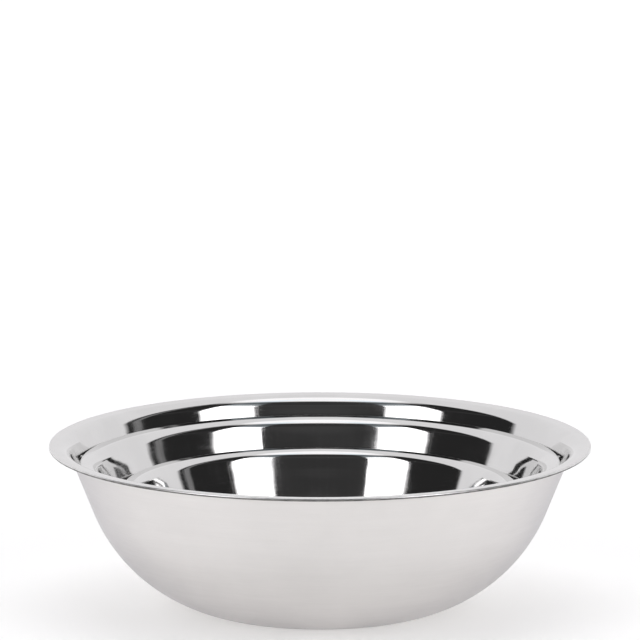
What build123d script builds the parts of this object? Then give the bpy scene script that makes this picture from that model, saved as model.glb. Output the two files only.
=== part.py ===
from build123d import *
from dataclasses import dataclass
from math import cos, hypot, radians, sin, tan
import os

# A nest of three round steel bowls, each pressed from one sheet, with a flared lip and a curled edge.
# Millimetres and degrees, +Z up. The origin is the centre of the large bowl's foot.

# The sheet and the tools that press it, the same for every bowl
sheet = 0.7                 # thickness of the steel
curl_inside = 0.3           # inside radius of the curled edge
curl_turn = 245.0           # how far the edge is rolled, from the lip round to under it
lip_slope = 4.0             # rise of the lip above level, outwards
wall_slope = 68.0           # rise of the straight upper wall
foot_slope = 15.0           # rise of the wall where it leaves the foot
foot_bend = 3.0             # outside radius of the bend round the foot
straight_left = 0.4         # least straight stretch kept beside a bend

# The large bowl
large_rim_diameter = 337.0
large_height = 102.7        # from the foot to the top of the bead
large_foot_diameter = 141.3
large_lip_width = 11.4      # from the edge to the wall's line, under the lip
large_lip_bend = 8.4        # underside radius between wall and lip

# The medium bowl, from the large bowl that it nests in
medium_height_step = 11.6   # how much lower than the large bowl
medium_foot_step = 16.1     # how much smaller across the foot
medium_rim_gap = 2.9        # from its edge out to the large bowl's wall
medium_lip_width = 10.1
medium_lip_bend = 7.5

# The small bowl, from the medium bowl that it nests in
small_height_step = 16.2
small_foot_step = 22.4
small_rim_gap = 9.7
small_lip_width = 8.3
small_lip_bend = 6.1

bead_radius = curl_inside + sheet


@dataclass
class Bowl:
    """The sizes that tell one bowl from another. floor is the height that its foot stands at."""
    rim_radius: float
    height: float
    foot_radius: float
    lip_width: float
    lip_bend: float
    floor: float = 0.0


def wall_radius_at(bowl, level):
    """Outside radius of the bowl's straight upper wall at a height above its own foot."""
    corner = lip_corner(bowl)
    return corner.X + (level - corner.Y) / tan(radians(wall_slope))


def inward(slope):
    """Unit vector square to a line of this slope, from the outside of the sheet to its inside."""
    return Vector(-sin(radians(slope)), cos(radians(slope)))


def lip_end(bowl):
    """Where the underside of the lip runs into the curl. X is the radius and Y the height."""
    return curl_centre(bowl) + inward(lip_slope) * curl_inside


def curl_centre(bowl):
    """Centre of the curl's section."""
    return Vector(bowl.rim_radius - bead_radius, bowl.height - bead_radius)


def lip_corner(bowl):
    """Where the lines of the lip's underside and the wall's outside meet."""
    end = lip_end(bowl)
    radius = bowl.rim_radius - bowl.lip_width
    return Vector(radius, end.Y - (end.X - radius) * tan(radians(lip_slope)))


def body_corner(bowl):
    """Where the line of the wall's outside meets the slope that rises from the foot."""
    top = lip_corner(bowl)
    wall_run = 1 / tan(radians(wall_slope))
    foot_run = 1 / tan(radians(foot_slope))
    level = (top.X - top.Y * wall_run - bowl.foot_radius) / (foot_run - wall_run)
    return Vector(bowl.foot_radius + level * foot_run, level)


def setback(radius, turn):
    """Length that a bend takes from each of the two straights beside it."""
    return radius * tan(radians(turn / 2))


def body_radius(bowl):
    """Outside radius of the round body: the largest that both straights leave room for."""
    foot = Vector(bowl.foot_radius, 0)
    body = body_corner(bowl)
    top = lip_corner(bowl)
    lower_run = hypot(body.X - foot.X, body.Y - foot.Y) - setback(foot_bend, foot_slope)
    upper_run = hypot(top.X - body.X, top.Y - body.Y) - setback(bowl.lip_bend, wall_slope - lip_slope)
    room = min(lower_run, upper_run) - straight_left
    return room / tan(radians((wall_slope - foot_slope) / 2))


def skin(bowl, depth):
    """The line of the sheet's outside or, at a depth of one sheet, of its inside, ending in the curl."""
    slopes = [0, foot_slope, wall_slope, lip_slope]
    corners = [Vector(bowl.foot_radius, 0), body_corner(bowl), lip_corner(bowl)]
    points = [Vector(0, depth)]
    for corner, before, after in zip(corners, slopes, slopes[1:]):
        mitre = depth / cos(radians((after - before) / 2))
        points.append(corner + inward((before + after) / 2) * mitre)
    points.append(lip_end(bowl) + inward(lip_slope) * depth)
    bends = [foot_bend - depth, body_radius(bowl) - depth, bowl.lip_bend + depth]
    line = FilletPolyline(*points, radius=bends)
    curl = JernArc(line @ 1, line % 1, curl_inside + depth, -curl_turn)
    return Wire([*line.edges(), *curl.edges()])


def make_bowl(bowl):
    """One solid of even thickness, turned from the section of the sheet."""
    outside = skin(bowl, 0)
    inside = skin(bowl, sheet)
    centre = Line(outside @ 0, inside @ 0)
    edge = Line(outside @ 1, inside @ 1)
    section = make_face([*outside.edges(), *inside.edges(), centre.edge(), edge.edge()])
    return Pos(0, 0, bowl.floor) * revolve(Plane.XZ * section, Axis.Z)


def nested(outer, height_step, foot_step, rim_gap, lip_width, lip_bend):
    """The bowl that stands on the outer one's floor, with its edge rim_gap inside the wall."""
    height = outer.height - height_step
    sheet_across = sheet / sin(radians(wall_slope))
    edge_level = sheet + height - bead_radius
    rim_radius = wall_radius_at(outer, edge_level) - sheet_across - rim_gap
    foot_radius = outer.foot_radius - foot_step / 2
    return Bowl(rim_radius, height, foot_radius, lip_width, lip_bend, outer.floor + sheet)


large = Bowl(large_rim_diameter / 2, large_height, large_foot_diameter / 2,
             large_lip_width, large_lip_bend)
medium = nested(large, medium_height_step, medium_foot_step, medium_rim_gap,
                medium_lip_width, medium_lip_bend)
small = nested(medium, small_height_step, small_foot_step, small_rim_gap,
               small_lip_width, small_lip_bend)

os.makedirs("parts", exist_ok=True)
for name, bowl in (("large_bowl", large), ("medium_bowl", medium), ("small_bowl", small)):
    export_step(make_bowl(bowl), f"parts/{name}.step")
    print(f"{name}: rim {2 * bowl.rim_radius:.2f} across, {bowl.height:.2f} high, "
          f"foot {2 * bowl.foot_radius:.2f} across, body radius {body_radius(bowl):.2f}, "
          f"foot at {bowl.floor:.2f}")
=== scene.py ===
from math import cos, hypot, pi, radians, sin, tan

import bpy
from bpy.props import FloatProperty, FloatVectorProperty, IntProperty, PointerProperty, StringProperty
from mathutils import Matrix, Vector


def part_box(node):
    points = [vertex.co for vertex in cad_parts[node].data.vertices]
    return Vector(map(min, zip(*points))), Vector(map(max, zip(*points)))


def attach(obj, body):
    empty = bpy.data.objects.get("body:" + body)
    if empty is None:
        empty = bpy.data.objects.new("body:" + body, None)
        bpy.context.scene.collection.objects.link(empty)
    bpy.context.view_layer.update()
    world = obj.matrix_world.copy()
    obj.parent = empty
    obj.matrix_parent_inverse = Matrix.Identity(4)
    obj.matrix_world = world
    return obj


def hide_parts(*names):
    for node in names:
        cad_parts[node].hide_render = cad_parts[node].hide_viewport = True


bl_info = {
    "name": "Nested Steel Bowls",
    "version": (1, 0, 0),
    "blender": (4, 5, 0),
    "location": "View3D > Sidebar > Bowls",
    "description": "Spins a nest of pressed steel bowls, finishes the steel and sets the studio",
    "category": "Add Mesh",
}

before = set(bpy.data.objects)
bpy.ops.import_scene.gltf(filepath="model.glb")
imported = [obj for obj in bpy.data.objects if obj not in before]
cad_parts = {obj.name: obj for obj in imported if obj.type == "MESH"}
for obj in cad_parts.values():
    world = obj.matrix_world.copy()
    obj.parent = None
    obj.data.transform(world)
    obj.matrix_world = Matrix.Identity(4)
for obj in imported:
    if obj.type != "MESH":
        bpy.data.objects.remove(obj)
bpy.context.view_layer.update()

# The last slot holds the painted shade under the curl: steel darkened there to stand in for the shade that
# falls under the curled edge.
SATIN, POLISHED, EDGE, PAINTED_SHADE_UNDER_CURL = range(4)    # material slots of every bowl
FINISHES = ("satin_steel", "polished_steel", "burnished_edge", "painted_shade_underside")    # in slot order

CURL_REACH = 1.5                # how far in from the rim the curl's finish goes, in radii of the bead
# Curl faces that face downwards take the painted shade under the curl.
UNDERSIDE_RISE = 0.08           # a face of the curl whose normal rises less than this is underneath
SMOOTH_ANGLE = radians(40)      # sharper edges than this stay sharp


# ---------------------------------------------------------------- sizes

class BowlPress(bpy.types.PropertyGroup):
    """The sheet and the press tools that every bowl shares."""
    sheet: FloatProperty(
        name="Sheet", description="Thickness of the steel", default=0.0007, unit="LENGTH")
    curl_inside: FloatProperty(
        name="Curl inside", description="Inside radius of the curled edge", default=0.0003, unit="LENGTH")
    curl_turn: FloatProperty(
        name="Curl turn", description="How far the edge is rolled over", default=radians(245),
        subtype="ANGLE")
    lip_slope: FloatProperty(
        name="Lip slope", description="Rise of the lip, outwards", default=radians(4), subtype="ANGLE")
    wall_slope: FloatProperty(
        name="Wall slope", description="Rise of the straight upper wall", default=radians(68),
        subtype="ANGLE")
    foot_slope: FloatProperty(
        name="Foot slope", description="Rise of the wall as it leaves the foot", default=radians(15),
        subtype="ANGLE")
    foot_bend: FloatProperty(
        name="Foot bend", description="Outside radius of the bend round the foot", default=0.003,
        unit="LENGTH")
    straight_left: FloatProperty(
        name="Straight left", description="Least straight kept beside a bend", default=0.0004,
        unit="LENGTH")
    spin_steps: IntProperty(name="Steps round", description="Faces round a bowl", default=320)


class BowlShape(bpy.types.PropertyGroup):
    """The sizes that one bowl has to itself, besides the width and height that its node gives."""
    foot_diameter: FloatProperty(name="Foot", description="Width of the flat foot", unit="LENGTH")
    lip_width: FloatProperty(name="Lip width", description="From the edge to the wall's line", unit="LENGTH")
    lip_bend: FloatProperty(name="Lip bend", description="Underside radius below the lip", unit="LENGTH")


BOWL_SHAPES = {
    "large_bowl": {"foot_diameter": 0.1413, "lip_width": 0.0114, "lip_bend": 0.0084},
    "medium_bowl": {"foot_diameter": 0.1252, "lip_width": 0.0101, "lip_bend": 0.0075},
    "small_bowl": {"foot_diameter": 0.1028, "lip_width": 0.0083, "lip_bend": 0.0061},
}


class SteelFinish(bpy.types.PropertyGroup):
    """Colours and textures of the steel."""
    colour: FloatVectorProperty(
        name="Steel", description="Colour of the bare steel", subtype="COLOR",
        default=(0.80, 0.80, 0.795))
    satin_colour: FloatVectorProperty(
        name="Satin steel", description="Colour of the satin outside", subtype="COLOR",
        default=(0.82, 0.80, 0.785))
    # Colours of the painted shade under the curl: dark steel standing in for the shade there, darker in
    # random patches.
    underside_shade_colour: FloatVectorProperty(
        name="Underside", description="Colour of the dull steel under the curl", subtype="COLOR",
        default=(0.22, 0.216, 0.212))
    underside_deep_shade: FloatVectorProperty(
        name="Underside soil", description="Colour of the darkest patches under the curl", subtype="COLOR",
        default=(0.13, 0.127, 0.125))
    polished_roughness: FloatProperty(
        name="Polished", description="Roughness of the mirror polish", default=0.045)
    satin_roughness: FloatProperty(
        name="Satin", description="Roughness of the satin outside", default=0.40)
    grain_pitch: FloatProperty(
        name="Grain pitch", description="Spacing of the turning marks", default=0.0006, unit="LENGTH")
    wave_length: FloatProperty(
        name="Wave", description="Length of the slow waves left by the press", default=0.06, unit="LENGTH")


class Studio(bpy.types.PropertyGroup):
    """Camera and light."""
    elevation: FloatProperty(
        name="Camera height", description="Camera angle above level", default=radians(10.8), subtype="ANGLE")
    distance: FloatProperty(
        name="Distance", description="From the camera to the bowls", default=8.0, unit="LENGTH")
    width: FloatProperty(
        name="View width", description="Width of the view at the bowls", default=0.397, unit="LENGTH")
    aim_height: FloatProperty(
        name="Aim height", description="Height of the middle of the view", default=0.1813, unit="LENGTH")
    floor_size: FloatProperty(name="Floor", description="Width of the floor", default=80.0, unit="LENGTH")
    floor_glow: FloatProperty(
        name="Floor glow", description="Light that the floor gives off, as a light table does", default=0.3)
    light_spread: FloatProperty(
        name="Light spread", description="Width of the overhead light as seen from the bowls",
        default=radians(100), subtype="ANGLE")
    light_power: FloatProperty(name="Light power", description="Strength of the overhead light", default=0.58)
    back_light: FloatProperty(name="Back", description="Brightness of the white back", default=0.84)
    ceiling_light: FloatProperty(name="Ceiling", description="Brightness of the white ceiling", default=1.22)
    softbox_light: FloatProperty(name="Softboxes", description="Brightness of the softboxes", default=2.2)
    stand_light: FloatProperty(name="Stand", description="Brightness of the grey stand", default=0.22)


# ---------------------------------------------------------------- mesh tools

def begin_piece(name):
    """The new primitive becomes the piece, in edit mode."""
    piece = bpy.context.object
    piece.name = name
    piece.data.name = name
    bpy.ops.object.mode_set(mode="EDIT")
    return piece


def deselect_objects():
    bpy.ops.object.select_all(action="DESELECT")


def assign_faces(piece, faces, slot):
    """The faces with these numbers take the material in this slot."""
    bpy.ops.object.mode_set(mode="EDIT")
    bpy.ops.mesh.select_mode(type="FACE")
    bpy.ops.mesh.select_all(action="DESELECT")
    bpy.ops.object.mode_set(mode="OBJECT")
    for index in faces:
        piece.data.polygons[index].select = True
    bpy.ops.object.mode_set(mode="EDIT")
    piece.active_material_index = slot
    bpy.ops.object.material_slot_assign()
    bpy.ops.mesh.select_mode(type="VERT")
    bpy.ops.object.mode_set(mode="OBJECT")


def uphill(slope):
    """Unit vector along a line of this slope in the section plane."""
    return Vector((cos(slope), 0, sin(slope)))


def inward(slope):
    """Unit vector square to a line of this slope, towards the inside of the bowl."""
    return Vector((-sin(slope), 0, cos(slope)))


class Pen:
    """Draws a section from the end vertex that is selected in edit mode, by extruding and spinning it."""

    def __init__(self, start):
        self.at = start
        self.slope = 0.0

    def straight(self, length, steps=1):
        step = uphill(self.slope) * (length / steps)
        for _ in range(steps):
            bpy.ops.mesh.extrude_vertices_move(TRANSFORM_OT_translate={"value": step})
        self.at = self.at + uphill(self.slope) * length

    def bend(self, radius, turn, steps):
        """A positive turn bends the line upwards."""
        side = 1 if turn > 0 else -1
        centre = self.at + inward(self.slope) * radius * side
        bpy.ops.mesh.spin(steps=steps, angle=turn, center=centre, axis=(0, 1, 0))
        self.slope += turn
        self.at = centre - inward(self.slope) * radius * side


# ---------------------------------------------------------------- the bowls

def setback(radius, turn):
    """Length that a bend takes from each of the straights beside it."""
    return radius * tan(turn / 2)


def section_corners(press, shape, low, high):
    """Corners of the sheet's outside before they are rounded: foot, body, lip, and the lip's end."""
    bead = press.curl_inside + press.sheet
    curl = Vector((high.x - bead, 0, high.z - bead))
    lip_end = curl + inward(press.lip_slope) * press.curl_inside
    lip_radius = high.x - shape.lip_width
    lip = Vector((lip_radius, 0, lip_end.z - (lip_end.x - lip_radius) * tan(press.lip_slope)))
    foot = Vector((shape.foot_diameter / 2, 0, low.z))
    wall_run = 1 / tan(press.wall_slope)
    foot_run = 1 / tan(press.foot_slope)
    rise = (lip.x - (lip.z - low.z) * wall_run - foot.x) / (foot_run - wall_run)
    body = foot + Vector((rise * foot_run, 0, rise))
    return foot, body, lip, lip_end


def draw_section(press, shape, low, high):
    """The outside of the sheet, from the centre of the foot to the end of the curl."""
    foot, body, lip, lip_end = section_corners(press, shape, low, high)
    lip_turn = press.lip_slope - press.wall_slope
    body_turn = press.wall_slope - press.foot_slope
    foot_back = setback(press.foot_bend, press.foot_slope)
    lip_back = setback(shape.lip_bend, -lip_turn)
    lower_run = (body - foot).length - foot_back
    upper_run = (lip - body).length - lip_back
    body_back = min(lower_run, upper_run) - press.straight_left
    pen = Pen(Vector((0, 0, low.z)))
    pen.straight(foot.x - foot_back, steps=6)
    pen.bend(press.foot_bend, press.foot_slope, steps=6)
    pen.straight(lower_run - body_back)
    pen.bend(body_back / tan(body_turn / 2), body_turn, steps=44)
    pen.straight(upper_run - body_back, steps=5)
    pen.bend(shape.lip_bend, lip_turn, steps=20)
    pen.straight((lip_end - lip).length - lip_back, steps=3)
    pen.bend(press.curl_inside, -press.curl_turn, steps=22)


class BOWLS_OT_bowl(bpy.types.Operator):
    """Spin one bowl from its section and give the sheet its thickness"""
    bl_idname = "bowls.bowl"
    bl_label = "Bowl"

    node: StringProperty(name="Node", description="The part that the bowl stands for", default="large_bowl")

    def execute(self, context):
        press = context.scene.bowl_press
        shape = getattr(context.scene, self.node)
        low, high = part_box(self.node)
        deselect_objects()
        bpy.ops.mesh.primitive_plane_add(size=press.sheet, location=(0, 0, low.z))
        bowl = begin_piece(self.node + "_steel")
        bpy.ops.mesh.merge(type="CENTER")
        draw_section(press, shape, low, high)
        bpy.ops.mesh.select_all(action="SELECT")
        bpy.ops.mesh.spin(steps=press.spin_steps, angle=2 * pi, center=(0, 0, low.z), axis=(0, 0, 1))
        bpy.ops.mesh.select_all(action="SELECT")
        bpy.ops.mesh.remove_doubles(threshold=press.curl_inside / 100)
        bpy.ops.mesh.normals_make_consistent(inside=False)
        bpy.ops.object.mode_set(mode="OBJECT")
        bpy.ops.object.transform_apply(location=True, rotation=True, scale=True)
        foot_face = min(bowl.data.polygons, key=lambda face: face.center.z)
        if foot_face.normal.z > 0:
            bowl.data.flip_normals()
        self.thicken(bowl, press)
        self.finish(bowl, press, high)
        return {"FINISHED"}

    def thicken(self, bowl, press):
        """The wall grows inwards, and its inside takes the polished material."""
        for name in FINISHES:
            bowl.data.materials.append(bpy.data.materials[name])
        wall = bowl.modifiers.new("sheet", "SOLIDIFY")
        wall.thickness = press.sheet
        wall.offset = -1
        wall.use_even_offset = True
        wall.use_quality_normals = True
        wall.material_offset = POLISHED
        wall.material_offset_rim = EDGE
        bpy.ops.object.modifier_apply(modifier=wall.name)

    def finish(self, bowl, press, high):
        """The curl takes its materials, with the painted shade on its underside; the sheet is shaded smooth
        and rides on its body.
        """
        curl_start = high.x - CURL_REACH * (press.curl_inside + press.sheet)
        curl = [face for face in bowl.data.polygons
                if face.material_index == POLISHED and hypot(face.center.x, face.center.y) > curl_start]
        # Downward-facing curl faces get the painted shade under the curl.
        underside = [face.index for face in curl if face.normal.z < UNDERSIDE_RISE]
        assign_faces(bowl, [face.index for face in curl], EDGE)
        assign_faces(bowl, underside, PAINTED_SHADE_UNDER_CURL)
        bpy.ops.object.shade_smooth_by_angle(angle=SMOOTH_ANGLE)
        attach(bowl, self.node)
        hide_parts(self.node)


# ---------------------------------------------------------------- the steel

def add_node(tree, kind, inputs=None, **settings):
    """A node with its settings, and inputs that are values or other nodes' sockets."""
    node = tree.nodes.new(kind)
    for key, value in settings.items():
        setattr(node, key, value)
    for name, value in (inputs or {}).items():
        if isinstance(value, bpy.types.NodeSocket):
            tree.links.new(value, node.inputs[name])
        else:
            node.inputs[name].default_value = value
    return node


def maths(tree, operation, *values):
    """The result of a Math node."""
    return add_node(tree, "ShaderNodeMath", dict(enumerate(values)), operation=operation).outputs[0]


def ramp(tree, value, from_low, from_high, to_low=0.0, to_high=1.0):
    """value carried smoothly from one range to another, and held at its ends."""
    limits = {"Value": value, "From Min": from_low, "From Max": from_high,
              "To Min": to_low, "To Max": to_high}
    return add_node(tree, "ShaderNodeMapRange", limits, interpolation_type="SMOOTHSTEP").outputs[0]


def blend(tree, factor, first, second):
    """Two colours mixed."""
    node = add_node(tree, "ShaderNodeMix", data_type="RGBA")
    for socket, value in ((node.inputs[0], factor), (node.inputs[6], first), (node.inputs[7], second)):
        if isinstance(value, bpy.types.NodeSocket):
            tree.links.new(value, socket)
        else:
            socket.default_value = value
    return node.outputs[2]


def toned(colour, share):
    """The colour at this share of its brightness, as a colour socket takes it."""
    return tuple(min(1.0, value * share) for value in colour) + (1.0,)


def begin_material(slot):
    """The node tree and shader of a new metal for this slot."""
    material = bpy.data.materials.new(FINISHES[slot])
    material.use_nodes = True
    tree = material.node_tree
    shader = tree.nodes["Principled BSDF"]
    shader.inputs["Metallic"].default_value = 1.0
    return tree, shader


class Turned:
    """Coordinates and noises of a piece that was turned about the Z axis."""

    def __init__(self, tree):
        self.tree = tree
        self.place = add_node(tree, "ShaderNodeTexCoord").outputs["Object"]
        split = add_node(tree, "ShaderNodeSeparateXYZ", {0: self.place}).outputs
        self.height = split["Z"]
        flat = add_node(tree, "ShaderNodeCombineXYZ", {"X": split["X"], "Y": split["Y"]}).outputs[0]
        self.radius = add_node(tree, "ShaderNodeVectorMath", {0: flat}, operation="LENGTH").outputs["Value"]
        self.round = add_node(tree, "ShaderNodeVectorMath", {0: flat}, operation="NORMALIZE").outputs[0]

    def rings(self, pitch, breaks, detail=2.0):
        """Noise in rings about the axis, as turning leaves, that fades in and out round the bowl."""
        tree = self.tree
        across = 1 / pitch
        stretched = add_node(tree, "ShaderNodeVectorMath", {0: self.round, "Scale": breaks},
                             operation="SCALE")
        rise = add_node(tree, "ShaderNodeCombineXYZ", {"Z": maths(tree, "MULTIPLY", self.height, across)})
        vector = add_node(tree, "ShaderNodeVectorMath", {0: stretched.outputs[0], 1: rise.outputs[0]},
                          operation="ADD").outputs[0]
        inputs = {"Vector": vector, "W": maths(tree, "MULTIPLY", self.radius, across),
                  "Scale": 1.0, "Detail": detail}
        return add_node(tree, "ShaderNodeTexNoise", inputs, noise_dimensions="4D").outputs["Fac"]

    def rays(self, count, length):
        """Noise in thin strokes that run from the centre outwards."""
        tree = self.tree
        fanned = add_node(tree, "ShaderNodeVectorMath", {0: self.round, "Scale": count / (2 * pi)},
                          operation="SCALE").outputs[0]
        inputs = {"Vector": fanned, "W": maths(tree, "MULTIPLY", self.radius, 1 / length),
                  "Scale": 1.0, "Detail": 2.0}
        return add_node(tree, "ShaderNodeTexNoise", inputs, noise_dimensions="4D").outputs["Fac"]

    def cloud(self, length, detail=3.0):
        """Even noise with patches of this length."""
        inputs = {"Vector": self.place, "Scale": 1 / length, "Detail": detail}
        return add_node(self.tree, "ShaderNodeTexNoise", inputs, noise_dimensions="3D").outputs["Fac"]

    def scuffs(self, turn, width, length, share):
        """Short straight marks that lie one way, thin where they start and end."""
        tree = self.tree
        fade = 0.06
        lay = add_node(tree, "ShaderNodeMapping", {"Vector": self.place, "Rotation": turn}).outputs[0]
        scale = Vector((1 / length, 1 / width, 1 / width))
        drawn = add_node(tree, "ShaderNodeVectorMath", {0: lay, 1: scale}, operation="MULTIPLY").outputs[0]
        inputs = {"Vector": drawn, "Scale": 1.0, "Detail": 1.0}
        noise = add_node(tree, "ShaderNodeTexNoise", inputs).outputs["Fac"]
        return ramp(tree, noise, 1 - share, 1 - share + fade)


def bumps(tree, *layers):
    """One normal from (height, distance) layers."""
    normal = None
    for height, distance in layers:
        inputs = {"Height": height, "Distance": distance, "Strength": 1.0}
        if normal is not None:
            inputs["Normal"] = normal
        normal = add_node(tree, "ShaderNodeBump", inputs).outputs["Normal"]
    return normal


def make_satin(finish):
    """Outside: a fine grain round the bowl, cloudy where it was handled, scuffed at the foot."""
    grain_spread = 0.05         # how far the grain carries the roughness either way
    cloud_spread = 0.035        # and how far the cloudy patches do
    wear_polish = 0.16          # roughness that scuffing takes away
    tree, shader = begin_material(SATIN)
    turned = Turned(tree)
    grain = turned.rings(finish.grain_pitch, breaks=9.0)
    broad = turned.rings(finish.grain_pitch * 9, breaks=2.0)
    cloud = turned.cloud(0.045)
    foot = ramp(tree, turned.height, 0.0012, 0.006, 1.0, 0.0)
    marks = maths(tree, "MAXIMUM",
                  turned.scuffs(turn=(0.2, 0.1, 0.5), width=0.0006, length=0.012, share=0.36),
                  turned.scuffs(turn=(0.1, 0.3, 2.0), width=0.0005, length=0.009, share=0.36))
    wear = maths(tree, "MULTIPLY", foot, marks)
    bright = toned(finish.satin_colour, 1.0)
    dull = toned(finish.satin_colour, 0.955)
    tone = maths(tree, "ADD", maths(tree, "MULTIPLY", cloud, 0.75), maths(tree, "MULTIPLY", broad, 0.25))
    colour = blend(tree, ramp(tree, tone, 0.35, 0.65), dull, bright)
    tree.links.new(colour, shader.inputs["Base Color"])
    smooth = finish.satin_roughness - grain_spread
    coarse = finish.satin_roughness + grain_spread
    rough = maths(tree, "ADD", ramp(tree, cloud, 0.3, 0.7, -cloud_spread, cloud_spread),
                  ramp(tree, grain, 0.3, 0.7, smooth, coarse))
    rough = maths(tree, "SUBTRACT", rough, maths(tree, "MULTIPLY", wear, wear_polish))
    tree.links.new(rough, shader.inputs["Roughness"])
    shader.inputs["Specular Tint"].default_value = (0.68, 0.68, 0.71, 1.0)
    shader.inputs["Anisotropic"].default_value = 0.4
    shader.inputs["Anisotropic Rotation"].default_value = 0.25
    around = add_node(tree, "ShaderNodeTangent", direction_type="RADIAL", axis="Z").outputs[0]
    tree.links.new(around, shader.inputs["Tangent"])
    tree.links.new(bumps(tree, (grain, 0.000012), (turned.cloud(finish.wave_length, 1.0), 0.0005)),
                   shader.inputs["Normal"])


def make_polished(finish):
    """Inside and over the lip: a mirror with faint rings and strokes, slow waves, smears and hairlines."""
    tree, shader = begin_material(POLISHED)
    turned = Turned(tree)
    rings = turned.rings(finish.grain_pitch * 1.5, breaks=5.0)
    ripples = turned.rings(0.009, breaks=0.6, detail=0.0)
    waves = turned.cloud(finish.wave_length, 1.0)
    smear = turned.cloud(0.03)
    hairs = maths(tree, "MAXIMUM",
                  turned.scuffs(turn=(0.3, 0.2, 0.9), width=0.0004, length=0.03, share=0.33),
                  turned.scuffs(turn=(0.1, 0.4, 2.5), width=0.0004, length=0.02, share=0.33))
    strokes = maths(tree, "MULTIPLY", turned.rays(count=260.0, length=0.035),
                    ramp(tree, turned.radius, 0.004, 0.03))
    bright = toned(finish.colour, 1.0)
    dull = toned(finish.colour, 0.96)
    tree.links.new(blend(tree, ramp(tree, smear, 0.4, 0.65), dull, bright), shader.inputs["Base Color"])
    rough = maths(tree, "ADD", finish.polished_roughness, ramp(tree, smear, 0.45, 0.75, 0.0, 0.05))
    rough = maths(tree, "ADD", rough, ramp(tree, rings, 0.45, 0.7, 0.0, 0.025))
    rough = maths(tree, "ADD", rough, maths(tree, "MULTIPLY", hairs, 0.06))
    rough = maths(tree, "ADD", rough, ramp(tree, strokes, 0.5, 0.75, 0.0, 0.05))
    tree.links.new(rough, shader.inputs["Roughness"])
    relief = bumps(tree, (rings, 0.0000015), (strokes, 0.000008), (ripples, 0.0002), (waves, 0.0003))
    tree.links.new(relief, shader.inputs["Normal"])


def make_edge(finish):
    """The curled edge: burnished along its run, a little uneven where it was knocked."""
    tree, shader = begin_material(EDGE)
    turned = Turned(tree)
    drawn = turned.rings(0.00025, breaks=30.0)
    knocks = turned.cloud(0.004)
    bright = toned(finish.colour, 1.05)
    dull = toned(finish.colour, 0.94)
    tree.links.new(blend(tree, ramp(tree, knocks, 0.35, 0.55), dull, bright), shader.inputs["Base Color"])
    rough = maths(tree, "ADD", ramp(tree, knocks, 0.4, 0.7, 0.28, 0.33),
                  ramp(tree, drawn, 0.4, 0.7, 0.0, 0.03))
    tree.links.new(rough, shader.inputs["Roughness"])
    tree.links.new(bumps(tree, (drawn, 0.0000008), (knocks, 0.000001)), shader.inputs["Normal"])


def make_underside(finish):
    """Under the curl, where no wheel reaches: dull, and darkened as painted shade, darker in random patches.
    """
    tree, shader = begin_material(PAINTED_SHADE_UNDER_CURL)
    turned = Turned(tree)
    # Painted shade: the steel under the curl is darkened to stand in for its shade, darker where the noise is
    # low.
    shade_patches = turned.cloud(0.006)
    dark = toned(finish.underside_deep_shade, 1.0)
    light = toned(finish.underside_shade_colour, 1.0)
    tree.links.new(blend(tree, ramp(tree, shade_patches, 0.35, 0.6), dark, light), shader.inputs["Base Color"])
    tree.links.new(ramp(tree, shade_patches, 0.3, 0.7, 0.55, 0.4), shader.inputs["Roughness"])
    tree.links.new(bumps(tree, (turned.rings(0.0003, breaks=20.0), 0.00001)), shader.inputs["Normal"])


class BOWLS_OT_steel(bpy.types.Operator):
    """Make the finishes of the steel"""
    bl_idname = "bowls.steel"
    bl_label = "Steel"

    def execute(self, context):
        finish = context.scene.steel_finish
        make_satin(finish)
        make_polished(finish)
        make_edge(finish)
        make_underside(finish)
        return {"FINISHED"}


# ---------------------------------------------------------------- the studio

# Where the surroundings stand, in degrees: turned away from the front, or risen above level
BACK_TURN = (104.0, 108.0)
STAND_TURN = (96.0, 101.0)
FRONT_TURN = (36.0, 62.0)
CEILING_RISE = (62.0, 74.0)
RAIL_RISE = (33.5, 37.0)

# The softboxes, as slopes seen from the bowls: forwards over sideways, and up over sideways
SOFTBOX_ALONG = (0.52, 1.50)
SOFTBOX_TOP = (1.44, 1.54)
ABOVE_SOFTBOX = (1.5, 2.6)

# Brightness at the two ends of ABOVE_SOFTBOX and of FRONT_TURN, and of the rail
ABOVE_LIGHT = (0.42, 0.12)
ROOM_LIGHT = (0.038, 0.022)
RAIL_LIGHT = 0.025


def window(tree, value, low, high, edge):
    """1 between low and high, fading to 0 over the edge."""
    rise = ramp(tree, value, low - edge, low + edge)
    fall = ramp(tree, value, high - edge, high + edge, 1.0, 0.0)
    return maths(tree, "MULTIPLY", rise, fall)


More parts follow.
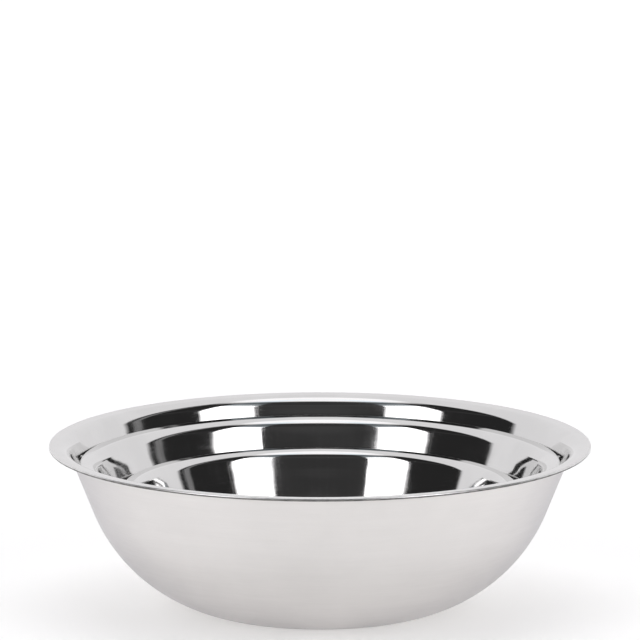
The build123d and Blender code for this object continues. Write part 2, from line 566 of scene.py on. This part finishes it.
def make_surroundings(studio):
    """What the steel mirrors: a white back and ceiling, a dark front, a softbox at each side, a stand."""
    world = bpy.data.worlds.new("studio")
    bpy.context.scene.world = world
    world.use_nodes = True
    tree = world.node_tree
    shade = tree.nodes["Background"]
    towards = add_node(tree, "ShaderNodeTexCoord").outputs["Generated"]
    split = add_node(tree, "ShaderNodeSeparateXYZ", {0: towards}).outputs
    aside = maths(tree, "MAXIMUM", maths(tree, "ABSOLUTE", split["X"]), 0.001)
    forwards = maths(tree, "MULTIPLY", split["Y"], -1.0)
    turn = maths(tree, "DEGREES", maths(tree, "ARCTAN2", aside, forwards))
    rise = maths(tree, "DEGREES", maths(tree, "ARCSINE", split["Z"]))
    along = maths(tree, "DIVIDE", forwards, aside)
    up = maths(tree, "DIVIDE", split["Z"], aside)
    back = maths(tree, "MULTIPLY", ramp(tree, turn, *BACK_TURN), studio.back_light)
    ceiling = maths(tree, "MULTIPLY", ramp(tree, rise, *CEILING_RISE), studio.ceiling_light)
    box_width = window(tree, along, *SOFTBOX_ALONG, edge=0.03)
    softbox = maths(tree, "MULTIPLY", box_width, ramp(tree, up, *SOFTBOX_TOP, studio.softbox_light, 0.0))
    above = maths(tree, "MULTIPLY", box_width, ramp(tree, up, *SOFTBOX_TOP))
    above_box = maths(tree, "MULTIPLY", above, ramp(tree, up, *ABOVE_SOFTBOX, *ABOVE_LIGHT))
    on_right = maths(tree, "GREATER_THAN", split["X"], 0.0)
    stand = maths(tree, "MULTIPLY", window(tree, turn, *STAND_TURN, edge=0.8),
                  maths(tree, "MULTIPLY", on_right, studio.stand_light))
    rail = maths(tree, "MULTIPLY", window(tree, rise, *RAIL_RISE, edge=1.0), RAIL_LIGHT)
    room = maths(tree, "ADD", ramp(tree, turn, *FRONT_TURN, *ROOM_LIGHT), rail)
    light = maths(tree, "MAXIMUM", back, ceiling)
    for part in (softbox, above_box, stand, room):
        light = maths(tree, "MAXIMUM", light, part)
    seen = add_node(tree, "ShaderNodeLightPath").outputs["Is Camera Ray"]
    hidden = maths(tree, "SUBTRACT", 1.0, seen)
    tree.links.new(maths(tree, "ADD", maths(tree, "MULTIPLY", light, hidden), seen), shade.inputs["Strength"])
    pinkish = (1.0, 0.985, 1.0, 1.0)
    bluish = (0.86, 0.94, 1.0, 1.0)
    white = (1.0, 1.0, 1.0, 1.0)
    tree.links.new(blend(tree, seen, blend(tree, above, pinkish, bluish), white), shade.inputs["Color"])


def make_floor(studio):
    """A pale matt floor that glows a little."""
    deselect_objects()
    bpy.ops.mesh.primitive_plane_add(size=studio.floor_size, location=(0, 0, 0))
    floor = bpy.context.object
    floor.name = "studio_floor"
    material = bpy.data.materials.new("pale_floor")
    material.use_nodes = True
    shader = material.node_tree.nodes["Principled BSDF"]
    shader.inputs["Base Color"].default_value = (0.86, 0.86, 0.86, 1.0)
    shader.inputs["Roughness"].default_value = 0.75
    shader.inputs["Specular IOR Level"].default_value = 0.2
    shader.inputs["Emission Color"].default_value = (1.0, 1.0, 1.0, 1.0)
    shader.inputs["Emission Strength"].default_value = studio.floor_glow
    floor.data.materials.append(material)


def make_overhead_light(studio):
    """Even soft light from above on the whole floor, which the steel doesn't mirror."""
    light = bpy.data.lights.new("overhead", "SUN")
    light.angle = studio.light_spread
    light.energy = studio.light_power
    holder = bpy.data.objects.new("overhead", light)
    bpy.context.scene.collection.objects.link(holder)
    holder.visible_glossy = False


def make_camera(studio):
    """The camera looks a little down on the bowls, from the front."""
    camera = bpy.data.cameras.new("camera")
    holder = bpy.data.objects.new("camera", camera)
    bpy.context.scene.collection.objects.link(holder)
    bpy.context.scene.camera = holder
    camera.lens = camera.sensor_width * studio.distance / studio.width
    camera.clip_end = studio.floor_size
    backwards = Vector((0, -cos(studio.elevation), sin(studio.elevation)))
    holder.location = Vector((0, 0, studio.aim_height)) + backwards * studio.distance
    holder.rotation_mode = "QUATERNION"
    holder.rotation_quaternion = (-backwards).to_track_quat("-Z", "Y")


class BOWLS_OT_stage(bpy.types.Operator):
    """Lay the pale floor and set the studio light and the camera"""
    bl_idname = "bowls.stage"
    bl_label = "Stage"

    def execute(self, context):
        studio = context.scene.bowl_studio
        make_floor(studio)
        make_surroundings(studio)
        make_overhead_light(studio)
        make_camera(studio)
        context.scene.view_settings.view_transform = "Standard"
        return {"FINISHED"}


# ---------------------------------------------------------------- panel and registration

class BOWLS_PT_panel(bpy.types.Panel):
    """Sizes, finishes and steps of the nest"""
    bl_idname = "BOWLS_PT_panel"
    bl_label = "Nested bowls"
    bl_space_type = "VIEW_3D"
    bl_region_type = "UI"
    bl_category = "Bowls"

    def draw(self, context):
        layout = self.layout
        scene = context.scene
        groups = [scene.bowl_press, *(getattr(scene, node) for node in BOWL_SHAPES)]
        groups += [scene.steel_finish, scene.bowl_studio]
        for group in groups:
            box = layout.box()
            for key in type(group).__annotations__:
                box.prop(group, key)
        layout.operator("bowls.steel")
        for node in BOWL_SHAPES:
            layout.operator("bowls.bowl", text=node.replace("_", " ")).node = node
        layout.operator("bowls.stage")


CLASSES = (BowlPress, BowlShape, SteelFinish, Studio, BOWLS_OT_bowl, BOWLS_OT_steel, BOWLS_OT_stage,
           BOWLS_PT_panel)


def register():
    for cls in CLASSES:
        bpy.utils.register_class(cls)
    bpy.types.Scene.bowl_press = PointerProperty(type=BowlPress)
    bpy.types.Scene.steel_finish = PointerProperty(type=SteelFinish)
    bpy.types.Scene.bowl_studio = PointerProperty(type=Studio)
    for node in BOWL_SHAPES:
        setattr(bpy.types.Scene, node, PointerProperty(type=BowlShape))


def unregister():
    for name in ("bowl_press", "steel_finish", "bowl_studio", *BOWL_SHAPES):
        delattr(bpy.types.Scene, name)
    for cls in reversed(CLASSES):
        bpy.utils.unregister_class(cls)


def main():
    register()
    for node, sizes in BOWL_SHAPES.items():
        shape = getattr(bpy.context.scene, node)
        for key, value in sizes.items():
            setattr(shape, key, value)
    bpy.ops.bowls.steel()
    for node in BOWL_SHAPES:
        bpy.ops.bowls.bowl(node=node)
    bpy.ops.bowls.stage()


if __name__ == "__main__":
    main()
